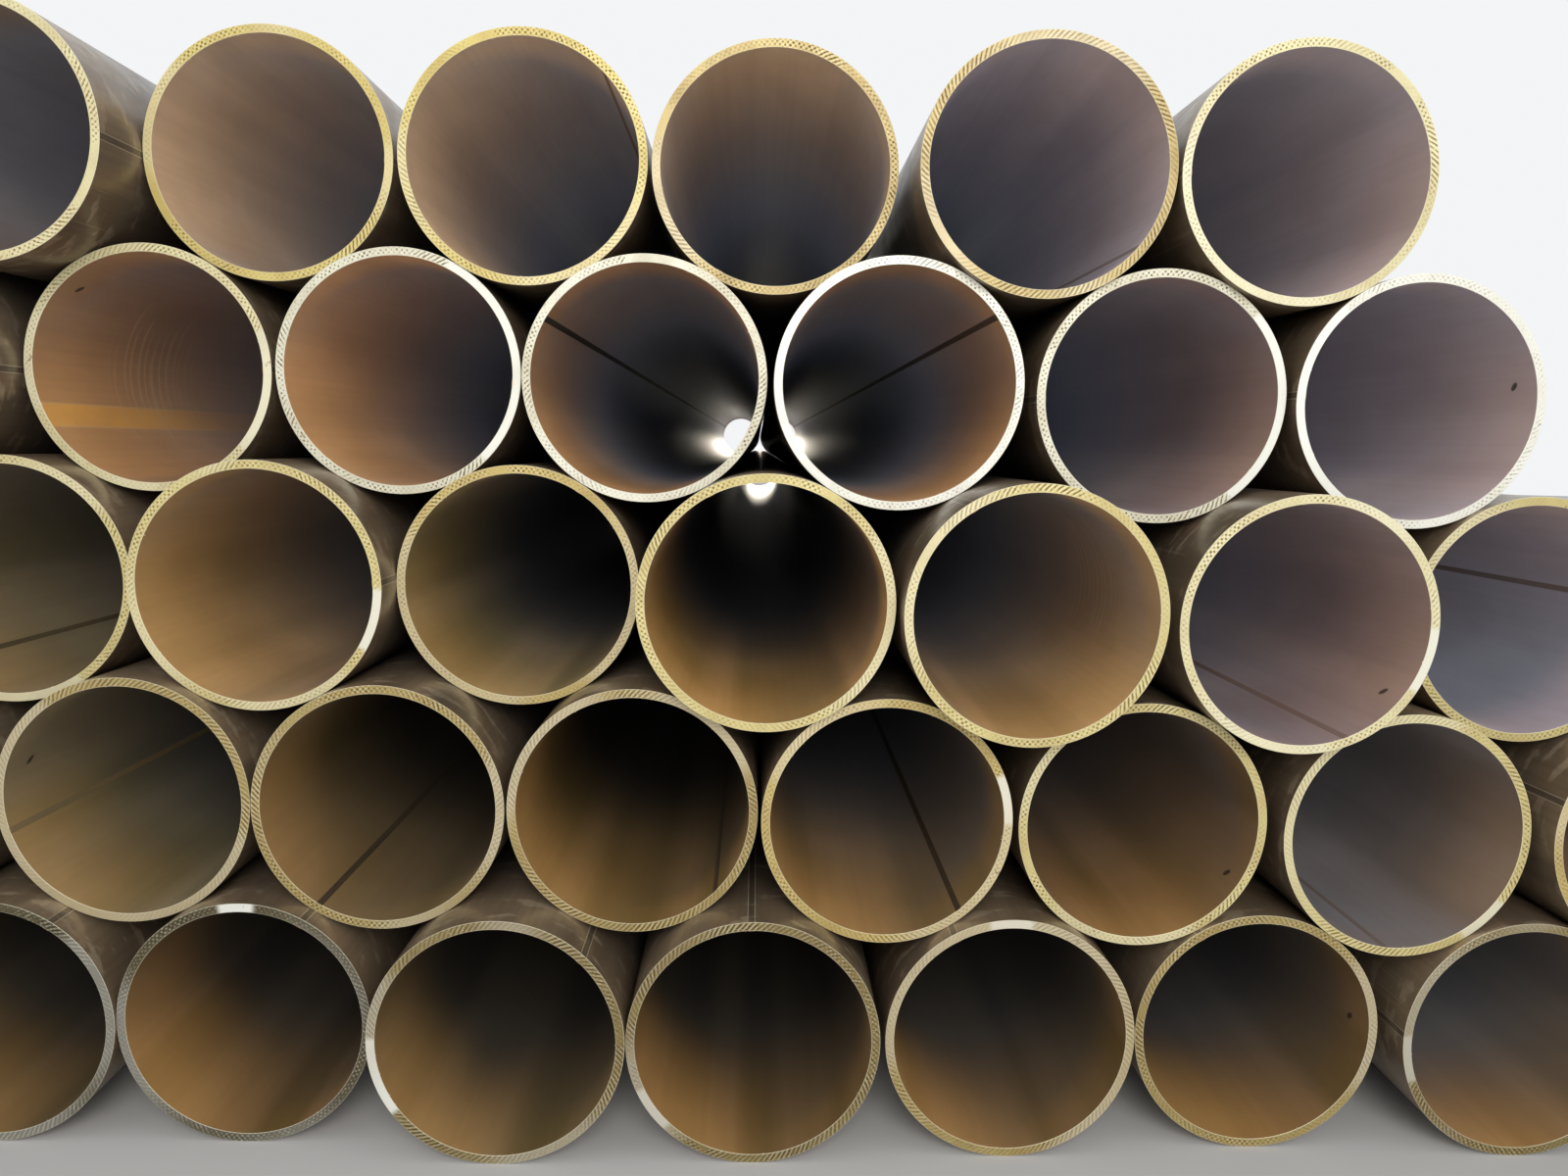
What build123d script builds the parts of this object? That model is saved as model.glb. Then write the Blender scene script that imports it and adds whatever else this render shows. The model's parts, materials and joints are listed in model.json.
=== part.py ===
"""Yard stack of straight-seam welded steel line pipes, nested in five rows.

The pipes lie along Y with their front ends towards -Y. The bottom row lies on level
ground at Z = 0, and each pipe above it rests in the trough between two pipes of the
row below. The origin is on the ground under the middle of the stack. Sizes are in
millimetres and angles in degrees.
"""

import os
from dataclasses import dataclass
from math import hypot, sqrt

from build123d import *

# One pipe, 18 inch line pipe in a 12 m mill length
outer_diameter = 457.0
wall = 15.9
length = 12000.0

# The weld seam along each pipe: cut flush outside, trimmed to a low land inside
seam_width = 13.0
seam_height = 0.8
seam_root = 3.0

# How far apart two pipes stay that rest on each other
contact_gap = 0.3

# Rows from the ground up
row_names = ["ground_row", "second_row", "third_row", "fourth_row", "top_row"]

# Gaps between the pipes on the ground, left to right: the stack has settled unevenly
ground_gaps = [2.0, 18.0, 0.3, 10.0, 0.3, 12.0, 13.0, 39.0, 7.0]

# How far each front end stands back from the foremost one, left to right
end_setbacks = {
    "ground_row": [50.0, 75.0, 55.0, 60.0, 0.0, 10.0, 35.0, 70.0, 50.0, 40.0],
    "second_row": [110.0, 100.0, 115.0, 105.0, 100.0, 75.0, 80.0, 65.0, 35.0],
    "third_row": [165.0, 195.0, 150.0, 235.0, 60.0, 0.0, 20.0, 130.0],
    "fourth_row": [125.0, 275.0, 270.0, 245.0, 180.0, 165.0, 145.0],
    "top_row": [155.0, 290.0, 265.0, 270.0, 155.0, 145.0],
}

# Where each pipe's seam stands round its axis, from +X towards +Z, left to right
seam_angles = {
    "ground_row": [62.0, 118.0, 57.0, 61.0, 47.0, 92.0, 119.0, 122.0, 178.0, 116.0],
    "second_row": [4.0, 121.0, 196.0, 239.0, 316.0, 310.0, 121.0, 264.0, 163.0],
    "third_row": [2.0, 229.0, 3.0, 58.0, 118.0, 123.0, 292.0, 10.0],
    "fourth_row": [357.0, 1.0, 356.0, 150.0, 36.0, 182.0, 178.0],
    "top_row": [358.0, 359.0, 46.0, 242.0, 321.0, 181.0],
}

# Worked out from the sizes above
outer_radius = outer_diameter / 2
inner_radius = outer_radius - wall
pitch = outer_diameter + contact_gap
seam_middle = inner_radius + (seam_root - seam_height) / 2
setbacks = [setback for row in end_setbacks.values() for setback in row]
front_y = -(length + max(setbacks) - min(setbacks)) / 2


@dataclass
class Seat:
    """Where one pipe's axis runs, seen from the front."""

    x: float
    z: float


def ground_seats() -> list[Seat]:
    """Return the bottom row's seats, centred on X = 0."""
    steps = [outer_diameter + max(gap, contact_gap) for gap in ground_gaps]
    seats = [Seat(-sum(steps) / 2, outer_radius)]
    for step in steps:
        seats.append(Seat(seats[-1].x + step, outer_radius))
    return seats


def trough_seat(left: Seat, right: Seat) -> Seat:
    """Return the seat of a pipe that rests on two neighbours of the row below."""
    run = right.x - left.x
    rise = right.z - left.z
    half_span = hypot(run, rise) / 2
    lean = sqrt(pitch**2 - half_span**2) / (2 * half_span)
    return Seat((left.x + right.x) / 2 - rise * lean, (left.z + right.z) / 2 + run * lean)


os.makedirs("parts", exist_ok=True)
seats = ground_seats()
for row_name in row_names:
    places = zip(seats, end_setbacks[row_name], seam_angles[row_name])
    for number, (seat, setback, seam_angle) in enumerate(places, start=1):
        front_end = Plane(origin=(seat.x, front_y + setback, seat.z), x_dir=(1, 0, 0), z_dir=(0, -1, 0))
        with BuildPart() as pipe:
            with BuildSketch(front_end):
                Circle(outer_radius)
                Circle(inner_radius, mode=Mode.SUBTRACT)
                with PolarLocations(seam_middle, 1, start_angle=seam_angle):
                    Rectangle(seam_root + seam_height, seam_width)
            extrude(amount=-length)
        pipe.part.label = f"{row_name}_pipe_{number}"
        export_step(pipe.part, f"parts/{pipe.part.label}.step")
    seats = [trough_seat(left, right) for left, right in zip(seats, seats[1:])]
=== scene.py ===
"""Dresses the stack of welded line pipes: faced ends, rusty bores, mill-coated outsides.

Every pipe is grown by one Geometry Nodes tree on the place that the fixed frame gives,
with its seam land where the frame's own pipe has it. Lengths are in metres.
"""

import json
import logging
from collections.abc import Callable
from dataclasses import dataclass, field
from enum import Enum
from math import atan2, cos, pi, radians, sin

import bpy
import numpy as np
from mathutils import Matrix, Vector

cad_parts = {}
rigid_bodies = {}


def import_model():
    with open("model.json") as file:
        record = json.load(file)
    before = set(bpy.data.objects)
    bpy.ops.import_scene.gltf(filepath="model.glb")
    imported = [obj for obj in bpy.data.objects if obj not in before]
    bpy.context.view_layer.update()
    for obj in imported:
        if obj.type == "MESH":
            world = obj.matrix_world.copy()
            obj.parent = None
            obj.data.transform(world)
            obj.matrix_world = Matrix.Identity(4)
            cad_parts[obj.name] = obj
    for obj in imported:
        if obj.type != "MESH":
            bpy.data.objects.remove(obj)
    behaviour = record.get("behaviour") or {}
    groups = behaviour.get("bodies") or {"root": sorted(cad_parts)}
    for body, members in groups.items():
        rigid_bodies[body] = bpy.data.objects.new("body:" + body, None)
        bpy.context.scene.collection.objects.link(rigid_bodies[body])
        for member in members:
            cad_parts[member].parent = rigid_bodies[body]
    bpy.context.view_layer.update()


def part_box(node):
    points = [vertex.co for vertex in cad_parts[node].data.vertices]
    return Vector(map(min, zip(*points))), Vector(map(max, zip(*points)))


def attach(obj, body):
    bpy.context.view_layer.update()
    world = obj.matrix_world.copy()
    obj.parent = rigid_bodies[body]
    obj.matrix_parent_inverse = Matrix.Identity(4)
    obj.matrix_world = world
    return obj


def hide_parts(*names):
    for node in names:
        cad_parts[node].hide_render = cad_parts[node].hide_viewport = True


LOG = logging.getLogger("pipe_stack")
MM = 0.001
FULL_TURN = 2 * pi
THINNEST_WALL = 4 * MM
LEAST_SEAM_HEIGHT = 0.3 * MM
Colour = tuple[float, float, float, float]

# Attributes of a pipe's mesh, which the finishes read
PLACE = "pipe_place"
SEAM_SPOT = "seam_spot"
SEED = "pipe_seed"
PART = "pipe_part"
BAKE_MAP = "OFBake"
FACE_TINT = "face_tint"
BORE_TINT = "bore_tint"
FACING = "facing_marks"
SMOOTH = "smooth_stretch"
# The bore's painted light: the angle of its lit side, its painted haze, and how far rust reaches before the
# painted shade deeper in
PAINTED_BORE_LIGHT = "painted_bore_light"
STRIPE = "rust_stripe"
CHATTER = "tool_chatter"
SEAM_DARK = "seam_dark"
NICK = "nick"

# The attributes that carry a pipe's own look, with the kind of socket that gives each
LOOK_KINDS = {
    FACE_TINT: "Color",
    BORE_TINT: "Color",
    FACING: "Vector",
    SMOOTH: "Vector",
    PAINTED_BORE_LIGHT: "Vector",
    STRIPE: "Vector",
    CHATTER: "Vector",
    SEAM_DARK: "Float",
    NICK: "Vector",
}
STORED_AS = {"Color": "FLOAT_COLOR", "Vector": "FLOAT_VECTOR", "Float": "FLOAT"}


def sided(operation: str, turned: bool = False) -> Callable[["Term", "Term | float"], "Term"]:
    """Make an operator for Term.

    Args:
        operation: A name that Math and Vector Math nodes share.
        turned: Whether the sides change places, as in the reflected form.

    Returns:
        The operator's method.
    """

    def method(self: "Term", other: "Term | float") -> "Term":
        """Return the two sides joined by the operation."""
        return self.bench.reckon(operation, *((other, self) if turned else (self, other)))

    return method


class Term:
    """One socket of a node tree, so that its maths is written as an expression."""

    __add__, __radd__ = sided("ADD"), sided("ADD", turned=True)
    __sub__, __rsub__ = sided("SUBTRACT"), sided("SUBTRACT", turned=True)
    __mul__, __rmul__ = sided("MULTIPLY"), sided("MULTIPLY", turned=True)
    __truediv__, __rtruediv__ = sided("DIVIDE"), sided("DIVIDE", turned=True)

    def __init__(self, bench: "Bench", socket: bpy.types.NodeSocket) -> None:
        """Hold a socket and the bench it belongs to."""
        self.bench = bench
        self.socket = socket

    def __neg__(self) -> "Term":
        """Return this value with its sign turned."""
        return self.bench.reckon("MULTIPLY", self, -1.0)

    def __abs__(self) -> "Term":
        """Return this value without its sign."""
        return self.bench.math("ABSOLUTE", self)


Value = Term | float


class Bench:
    """Adds nodes to one node tree and links them."""

    def __init__(self, tree: bpy.types.NodeTree) -> None:
        """Start on a shader or geometry tree, emptied first."""
        self.tree = tree
        tree.nodes.clear()

    def node(self, kind: str, settings: dict | None = None, inputs: dict | None = None) -> bpy.types.Node:
        """Add one node.

        Args:
            kind: The node's type name.
            settings: Properties to set before any socket.
            inputs: Socket names or numbers with a Term or a plain value each.

        Returns:
            The new node.
        """
        node = self.tree.nodes.new(kind)
        for name, value in (settings or {}).items():
            setattr(node, name, value)
        for key, value in (inputs or {}).items():
            self.feed(node.inputs[key], value)
        return node

    def feed(self, socket: bpy.types.NodeSocket, value: object) -> None:
        """Link a Term into an input, or set the input's own value.

        Args:
            socket: The input to feed.
            value: A Term or a plain value.
        """
        if isinstance(value, Term):
            self.tree.links.new(value.socket, socket)
        else:
            socket.default_value = value

    def term(
        self, kind: str, settings: dict | None = None, inputs: dict | None = None, output: int | str = 0
    ) -> Term:
        """Add one node and return one of its outputs.

        Args:
            kind: The node's type name.
            settings: Properties to set before any socket.
            inputs: Socket names or numbers with their values.
            output: The output's name or number.

        Returns:
            The chosen output.
        """
        return Term(self, self.node(kind, settings, inputs).outputs[output])

    def reckon(self, operation: str, first: Value, second: Value) -> Term:
        """Return a sum, difference, product or quotient of two numbers or vectors.

        Args:
            operation: A name that Math and Vector Math nodes share.
            first: The left side.
            second: The right side.

        Returns:
            A vector where either side is one, and a number elsewhere.
        """
        pair = (first, second)
        if any(isinstance(v, Term) and v.socket.type == "VECTOR" for v in pair):
            return self.vector(operation, *(v if isinstance(v, Term) else (v, v, v) for v in pair))
        return self.math(operation, *pair)

    def math(self, operation: str, *values: Value, clamp: bool = False) -> Term:
        """Return a Math node's result, held between 0 and 1 where clamp is set."""
        settings = {"operation": operation, "use_clamp": clamp}
        return self.term("ShaderNodeMath", settings, dict(enumerate(values)))

    def vector(self, operation: str, *values: object) -> Term:
        """Return a Vector Math node's result."""
        return self.term("ShaderNodeVectorMath", {"operation": operation}, dict(enumerate(values)))

    def combine(self, x: Value, y: Value, z: Value) -> Term:
        """Return a vector made of three numbers."""
        return self.term("ShaderNodeCombineXYZ", inputs={0: x, 1: y, 2: z})

    def split(self, vector: Term) -> tuple[Term, ...]:
        """Return a vector's three numbers."""
        node = self.node("ShaderNodeSeparateXYZ", inputs={0: vector})
        return tuple(Term(self, output) for output in node.outputs)


class ShaderBench(Bench):
    """A bench for materials, with the patterns that the pipe finishes share."""

    def attribute(self, name: str, output: str = "Vector") -> Term:
        """Return a mesh attribute's value."""
        return self.term("ShaderNodeAttribute", {"attribute_name": name}, output=output)

    def noise(self, spot: Term, scale: float, detail: float = 2.0, roughness: float = 0.5) -> Term:
        """Return a noise texture's value.

        Args:
            spot: Where the pattern is read.
            scale: Features per metre.
            detail: Octaves.
            roughness: How strong the finer octaves are.

        Returns:
            The value, from 0 to 1.
        """
        inputs = {"Vector": spot, "Scale": scale, "Detail": detail, "Roughness": roughness}
        return self.term("ShaderNodeTexNoise", inputs=inputs)

    def ramp(self, value: Term, low: Value, high: Value) -> Term:
        """Return a smooth step from 0 at low to 1 at high."""
        inputs = {"Value": value, "From Min": low, "From Max": high}
        return self.term("ShaderNodeMapRange", {"interpolation_type": "SMOOTHSTEP"}, inputs)

    def fade(self, value: Term, low: Value, high: Value) -> Term:
        """Return a smooth step from 1 at low to 0 at high."""
        return 1.0 - self.ramp(value, low, high)

    def drawn(self, spot: Term, share: float) -> Term:
        """Return a place with its length along the pipe scaled, for a pattern that runs along it."""
        return self.vector("MULTIPLY", spot, (1.0, share, 1.0))

    def apart(self, turn: Term, other: Term) -> Term:
        """Return the angle between two turns, never more than half a turn."""
        return abs(self.math("WRAP", turn - other, pi, -pi))

    def blend(self, amount: Value, first: object, second: object, mode: str = "MIX") -> Term:
        """Return a colour mix.

        Args:
            amount: How much of the second colour shows.
            first: The colour at 0.
            second: The colour at 1.
            mode: The Mix node's blend type.

        Returns:
            The mixed colour.
        """
        settings = {"data_type": "RGBA", "blend_type": mode, "clamp_factor": True}
        return self.term("ShaderNodeMix", settings, {0: amount, 6: first, 7: second}, output=2)

    def shaded(self, colour: Term, shade: object) -> Term:
        """Return a colour multiplied by a shade."""
        return self.blend(1.0, colour, shade, "MULTIPLY")

    def layered(self, colour: Term, *layers: tuple[Term, object]) -> Term:
        """Lay colours over one another.

        Args:
            colour: The colour at the bottom.
            layers: Each further colour, after how much of it shows.

        Returns:
            The colour on top.
        """
        for amount, other in layers:
            colour = self.blend(amount, colour, other)
        return colour


def paint(red: int, green: int, blue: int) -> Colour:
    """Return a colour socket's value for a colour as a screen shows it, 0 to 255 each."""
    levels = (red / 255, green / 255, blue / 255)
    return (*(v / 12.92 if v <= 0.04045 else ((v + 0.055) / 1.055) ** 2.4 for v in levels), 1.0)


def round_angle(degrees: float) -> float:
    """Return an angle in radians, between half a turn back and half a turn on."""
    return atan2(sin(radians(degrees)), cos(radians(degrees)))


class FaceTint(Enum):
    """The cast of a faced pipe end."""

    GOLD = paint(200, 182, 108)
    BRASS = paint(184, 164, 108)
    AMBER = paint(184, 163, 98)
    STRAW = paint(198, 184, 124)
    CREAM = paint(214, 205, 160)
    SILVER = paint(210, 207, 186)
    WHITE = paint(224, 223, 210)
    TAN = paint(160, 141, 86)
    OLIVE = paint(128, 112, 66)
    DULL = paint(78, 69, 42)


class BoreTint(Enum):
    """The cast of the rust on a pipe's inner wall near its mouth."""

    HAZED_AMBER = paint(230, 198, 164)
    HAZED_PLUM = paint(210, 192, 192)
    ORANGE = paint(234, 182, 128)
    RUSTY = paint(208, 160, 112)
    RUSSET = paint(216, 170, 108)
    AMBER = paint(206, 166, 112)
    RUST_BROWN = paint(170, 134, 86)
    BROWN = paint(166, 136, 104)
    KHAKI = paint(184, 158, 110)
    OLIVE = paint(154, 137, 103)
    PLUM = paint(178, 152, 144)
    SLATE = paint(138, 126, 120)
    UMBER = paint(152, 118, 76)
    DRAB = paint(140, 116, 79)
    MURKY = paint(118, 100, 72)


class Facing(Enum):
    """How the end was faced: how sharp the pits are, then the strength of each way of cutting."""

    DIMPLED = (1.0, 1.0, 1.0)
    SLANTED = (0.2, 1.0, 0.1)
    CROSSED = (0.4, 1.0, 0.9)


@dataclass(frozen=True)
class Look:
    """One pipe's own look; angles go round from +X towards +Z, in degrees.

    A nick has an angle and its distance from the mouth, a stripe an angle, a width in
    degrees and a strength, and chatter an angle, where it begins and a strength.
    """

    face: FaceTint
    bore: BoreTint
    facing: Facing = Facing.CROSSED
    smooth_at: float = 90.0
    smooth_over: float = 30.0
    # The side of the bore that is painted lit, as an angle
    lit_side_at: float = 250.0
    # How much painted haze pales the bore deep in
    painted_haze: float = 0.2
    bright: float = 0.0
    seam_dark: float = 0.25
    # How far rust reaches before the painted shade deeper in the bore
    rust_before_shade: float = 1.8
    nick: tuple[float, float] = (0.0, 0.0)
    stripe: tuple[float, float, float] = (0.0, 0.0, 0.0)
    chatter: tuple[float, float, float] = (0.0, 0.0, 0.0)

    def values(self) -> dict[str, object]:
        """Give the look as the tree's inputs.

        Returns:
            Attribute names with their values, with angles in radians.
        """
        return {
            FACE_TINT: self.face.value,
            BORE_TINT: self.bore.value,
            FACING: self.facing.value,
            SMOOTH: (round_angle(self.smooth_at), radians(self.smooth_over / 2), self.bright),
            PAINTED_BORE_LIGHT: (round_angle(self.lit_side_at), self.painted_haze, self.rust_before_shade),
            STRIPE: (round_angle(self.stripe[0]), radians(self.stripe[1] / 2), self.stripe[2]),
            CHATTER: (round_angle(self.chatter[0]), *self.chatter[1:]),
            SEAM_DARK: self.seam_dark,
            NICK: (round_angle(self.nick[0]), self.nick[1], 0.0),
        }


@dataclass(frozen=True)
class Finish:
    """A surface finish on a pipe of the given size; each kind gives its own sockets."""

    name: str
    outer: float
    inner: float
    length: float

    def build(self) -> bpy.types.Material:
        """Make the material.

        Returns:
            The finished material.
        """
        material = bpy.data.materials.new(self.name)
        material.use_nodes = True
        bench = ShaderBench(material.node_tree)
        surface = bench.term("ShaderNodeBsdfPrincipled", inputs=self.sockets(bench))
        bench.node("ShaderNodeOutputMaterial", inputs={0: surface})
        return material

    def sockets(self, bench: ShaderBench) -> dict[str, object]:
        """Return the surface's sockets with their values, made on the material's bench."""
        raise NotImplementedError

    def own_spot(self, bench: ShaderBench) -> Term:
        """Return the place on the pipe, moved so that no two pipes share a pattern."""
        seed = bench.attribute(SEED, "Fac")
        return bench.attribute(PLACE) + bench.combine(seed * 0.37, seed * 0.71, seed * 0.53)

    def from_mouth(self, bench: ShaderBench, along: Term) -> Term:
        """Return how far a place along the pipe is from the nearer end."""
        return bench.math("MINIMUM", along, self.length - along)

    def bump(self, bench: ShaderBench, height: Term, strength: float, depth: float) -> Term:
        """Return the normal of a raised pattern.

        Args:
            bench: The bench on the material's tree.
            height: The pattern, from 0 to 1.
            strength: How much of the bump shows.
            depth: The height of the pattern.

        Returns:
            What feeds the surface's Normal.
        """
        inputs = {"Strength": strength, "Distance": depth, "Height": height}
        return bench.term("ShaderNodeBump", inputs=inputs)


@dataclass(frozen=True)
class FacedSteel(Finish):
    """The square-cut end: bright steel with the marks of the facing cutter."""

    marks_round: float = 142.0
    lean: float = 9.8
    relief: float = 0.7 * MM
    soft_pit: Colour = paint(168, 152, 106)
    sharp_pit: Colour = paint(136, 126, 96)
    # A painted highlight on the crests between the marks
    crest_highlight: Colour = paint(255, 250, 224)
    # Painted glints
    glint_light: Colour = paint(255, 250, 228)
    cloud_shade: Colour = paint(196, 176, 150)
    polished: Colour = paint(230, 230, 220)
    # Painted sheen, a broad painted highlight
    sheen_light: Colour = paint(255, 255, 248)
    # A painted highlight along the inner and outer edges
    rim_highlight: Colour = paint(255, 250, 226)
    stain_brown: Colour = paint(112, 84, 52)

    def sockets(self, bench: ShaderBench) -> dict[str, object]:
        """Return the surface's sockets: marks with a painted highlight on their crests, a smooth stretch,
        wear, painted glints and sheen, a painted highlight along the rims, stains.

        Args:
            bench: The bench on the material's tree.

        Returns:
            Socket names with their values.
        """
        x, _, z = bench.split(bench.attribute(PLACE))
        spot = self.own_spot(bench)
        turn = bench.math("ARCTAN2", z, x)
        radius = bench.math("SQRT", x * x + z * z)
        depth = (radius - self.inner) / (self.outer - self.inner)
        from_middle = abs(depth - 0.5)
        facing = bench.split(bench.attribute(FACING))
        pit, crest = self.cuts(bench, spot, turn, depth, facing)
        pit = pit * bench.fade(from_middle, 0.34, 0.47)

        smooth_at, smooth_half, bright = bench.split(bench.attribute(SMOOTH))
        smooth = bench.fade(bench.apart(turn, smooth_at) - smooth_half, -0.03, 0.03)
        cut_well = bench.ramp(bench.noise(spot + bench.combine(1.0, 0.0, 2.0), 6.5, 2.0), 0.38, 0.56)
        strength = (0.30 + 0.70 * cut_well) * (1.0 - smooth * 0.9)
        marks = pit * strength

        tint = bench.attribute(FACE_TINT, "Color")
        pit_shade = bench.blend(facing[0], self.soft_pit, self.sharp_pit)
        # Painted glints of reflected light
        glint = bench.ramp(bench.noise(spot, 300.0, 1.0), 0.62, 0.72) * (1.0 - smooth)
        cloud = bench.ramp(bench.noise(spot, 14.0, 3.0, 0.6), 0.35, 0.7)
        # Painted sheen: broad arcs of painted highlight
        sheen = bench.ramp(bench.noise(spot + bench.combine(6.0, 0.0, 1.0), 3.4, 0.0), 0.50, 0.62)
        # Painted highlight along the inner and outer edges of the end
        rim = bench.ramp(from_middle, 0.42, 0.48)
        stain = bench.ramp(bench.noise(spot, 48.0, 3.0, 0.7), 0.66, 0.74)
        colour = bench.layered(
            tint,
            (marks, bench.shaded(tint, pit_shade)),
            # Painted highlight on the crests between the pits
            (crest * strength * 0.60, bench.blend(0.4, tint, self.crest_highlight)),
            (glint * 0.45, bench.blend(0.5, tint, self.glint_light)),
            (cloud * 0.30, bench.shaded(tint, self.cloud_shade)),
            (smooth * bright, self.polished),
            (sheen * 0.45, bench.blend(0.35, tint, self.sheen_light)),
            (rim * 0.6, bench.blend(0.6, tint, self.rim_highlight)),
            (stain * 0.6, self.stain_brown),
        )
        return {
            "Base Color": colour,
            "Metallic": 0.25,
            "Roughness": 0.46 + marks * 0.2 + cloud * 0.1,
            "Normal": self.bump(bench, 1.0 - marks, 0.7, self.relief),
        }

    def cuts(
        self, bench: ShaderBench, spot: Term, turn: Term, depth: Term, facing: tuple[Term, ...]
    ) -> tuple[Term, Term]:
        """Return the cutter's marks, which lean both ways across the wall and cross in places.

        Args:
            bench: The bench on the material's tree.
            spot: The place on the pipe.
            turn: The angle round the pipe.
            depth: How far across the wall the place is, from 0 inside to 1 outside.
            facing: How sharp the pits are, then the strength of each way of cutting.

        Returns:
            The pits and the crests between them, from 0 to 1 each.
        """
        sharp, first_cut, second_cut = facing
        round_turn = turn * self.marks_round + bench.noise(spot, 7.0, 1.0) * 7.0
        jitter = bench.noise(spot, 120.0, 1.0) * 2.4
        one_way = bench.math("SINE", round_turn + depth * self.lean + jitter)
        other_way = bench.math("SINE", round_turn - depth * self.lean + jitter)
        zone = bench.noise(spot + bench.combine(4.0, 0.0, 9.0), 5.5, 1.0)
        first = first_cut * (0.25 + 0.75 * bench.ramp(zone, 0.36, 0.46))
        second = second_cut * bench.fade(zone, 0.54, 0.64)
        relief = (one_way * first + other_way * second) / (first + second + 0.15)
        worn = (bench.noise(spot + bench.combine(2.0, 0.0, 5.0), 95.0, 1.0) - 0.5) * 1.4
        pit = bench.ramp(relief + worn, 0.20 + sharp * 0.12, 0.70 + sharp * 0.10)
        return pit, bench.ramp(worn - relief, 0.20, 0.80)


@dataclass(frozen=True)
class BoreScale(Finish):
    """The inside of a pipe: rust at the mouths and dark mill scale further in, with painted shade deeper in,
    a painted lit side and glow at the mouth, and painted haze in some bores.

    The rate of the chatter's rings is in radians a metre, and a nick's fineness is in parts
    of a radian round the pipe and of a metre along it. Each pair of colours is for a dull
    and a bright streak, or for a bore without and with painted haze.
    """

    relief: float = 0.5 * MM
    rings_rate: float = 217.0
    nick_fineness: tuple[float, float] = (26.0, 130.0)
    # The deep scale's colours are dark scale with painted shade
    dark_scale_and_shade: tuple[Colour, Colour] = (paint(58, 54, 50), paint(72, 66, 57))
    # The pale deep scale stands for painted haze
    haze_pale_scale: tuple[Colour, Colour] = (paint(222, 228, 244), paint(228, 231, 241))
    # Bare scale on the side in painted shade, for a bore without and with painted haze
    bare_shaded_side: tuple[Colour, Colour] = (paint(96, 84, 66), paint(152, 156, 168))
    dull_rust: tuple[Colour, Colour] = (paint(204, 208, 182), paint(234, 236, 242))
    # A painted glow of light near the mouth on the lit side
    lit_mouth_glow: Colour = paint(244, 184, 108)
    cloud_shade: Colour = paint(186, 166, 146)
    grain_shade: Colour = paint(150, 140, 132)
    stripe_orange: Colour = paint(255, 190, 92)
    stripe_edge: Colour = paint(230, 196, 150)
    chatter_light: Colour = paint(214, 190, 158)
    nick_dark: Colour = paint(44, 36, 30)

    def sockets(self, bench: ShaderBench) -> dict[str, object]:
        """Return the surface's sockets: soft zones lengthwise, from rust with painted light on one side to
        bare scale in painted shade on the other, with painted shade deeper in.

        Some pipes have a rust stripe too, tool chatter as rings near the mouth, or a nick.

        Args:
            bench: The bench on the material's tree.

        Returns:
            Socket names with their values.
        """
        x, along, z = bench.split(bench.attribute(PLACE))
        spot = self.own_spot(bench)
        turn = bench.math("ARCTAN2", z, x)
        reach = self.from_mouth(bench, along)
        lengthwise = bench.drawn(spot, 0.012)
        zones = bench.noise(lengthwise, 6.5, 1.0)
        streak = bench.ramp(zones, 0.40, 0.60)
        grain = bench.ramp(bench.noise(lengthwise, 85.0, 2.0), 0.3, 0.7)
        cloud = bench.ramp(bench.noise(bench.drawn(spot, 0.4), 9.0, 3.0, 0.6), 0.35, 0.65)

        tint = bench.attribute(BORE_TINT, "Color")
        lit_side_at, pale, rust_before_shade = bench.split(bench.attribute(PAINTED_BORE_LIGHT))
        mouth = bench.fade(reach + zones * 0.14, 0.06, 0.46)
        # Rust near the mouth gives way to dark scale further in, which also carries painted shade deeper in
        # the bore
        brown = bench.fade((reach + zones * 0.25) / rust_before_shade, 0.14, 1.0)
        # Near the mouth one side is painted lit: rust there and at the lip, bare scale in painted shade on
        # the other side
        away = bench.apart(turn, lit_side_at + (zones - 0.5) * 0.5)
        lip_rust = bench.fade(reach + (zones - 0.5) * 0.08, 0.02, 0.24) * 0.85
        rust_and_lit_side = bench.math("MAXIMUM", bench.fade(away, 0.30, 2.70), lip_rust)
        lit_side = bench.fade(away, 0.20, 1.20)

        # Painted haze pales the deep scale, the dull streaks and the shaded side of some bores
        deep = bench.blend(pale, bench.blend(streak, *self.dark_scale_and_shade), bench.blend(streak, *self.haze_pale_scale))
        dim = bench.shaded(tint, bench.blend(pale, *self.dull_rust))
        # Bare scale in painted shade away from the lit side, rust towards it
        rust = bench.blend(rust_and_lit_side, bench.blend(pale, *self.bare_shaded_side), bench.blend(streak, dim, tint))
        colour = bench.blend(brown, deep, rust)
        # A painted glow of light near the mouth on the lit side
        colour = bench.blend(lit_side * mouth * (0.6 - pale * 0.3), colour, bench.blend(0.5, tint, self.lit_mouth_glow))
        colour = bench.blend(cloud * brown * 0.16, colour, bench.shaded(colour, self.cloud_shade))
        colour = bench.blend(grain * 0.07, colour, bench.shaded(colour, self.grain_shade))
        colour = self.striped(bench, colour, turn, reach, cloud)
        ripple = self.chatter(bench, turn, reach)
        colour = bench.blend(ripple * 0.45, colour, self.chatter_light)
        return {
            "Base Color": self.nicked(bench, colour, turn, reach),
            "Roughness": 0.46 + streak * 0.05,
            "Normal": self.bump(bench, grain * 0.7 + ripple * 0.8, 0.4, self.relief),
        }

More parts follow.
